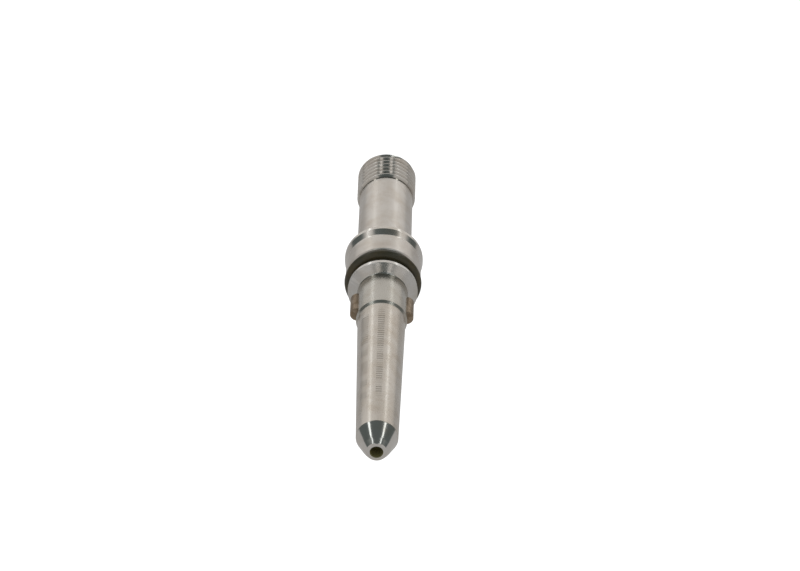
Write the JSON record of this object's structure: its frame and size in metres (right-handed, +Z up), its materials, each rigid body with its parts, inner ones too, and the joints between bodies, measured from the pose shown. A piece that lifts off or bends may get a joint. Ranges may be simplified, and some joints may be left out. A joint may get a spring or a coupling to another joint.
{
  "type": "injector high-pressure inlet connector",
  "caption": "Turned steel inlet connector of a diesel fuel injector, with threaded inlet end, sealing collar with o-ring, two locating keys, edge filter rod and conical sealing nose.",
  "frame": {"origin": "on the connector's axis, midway between the inlet end face and the nose end face", "axes": "+Y along the axis towards the threaded inlet end, so the nose points to -Y; +X through the right locating key; +Z up"},
  "size_m": [0.0184, 0.1156, 0.0184],
  "materials": {
    "turned_steel": "fine-turned bright steel, slightly warm",
    "seal_rubber": "satin black, faintly oily",
    "key_steel": "dull brown heat-tinted steel",
    "filter_steel": "ground steel"
  },
  "bodies": {
    "root": {"connector_body": "turned_steel", "o_ring": "seal_rubber", "locating_key_left": "key_steel", "locating_key_right": "key_steel", "edge_filter_rod": "filter_steel"}
  },
  "joints": []
}
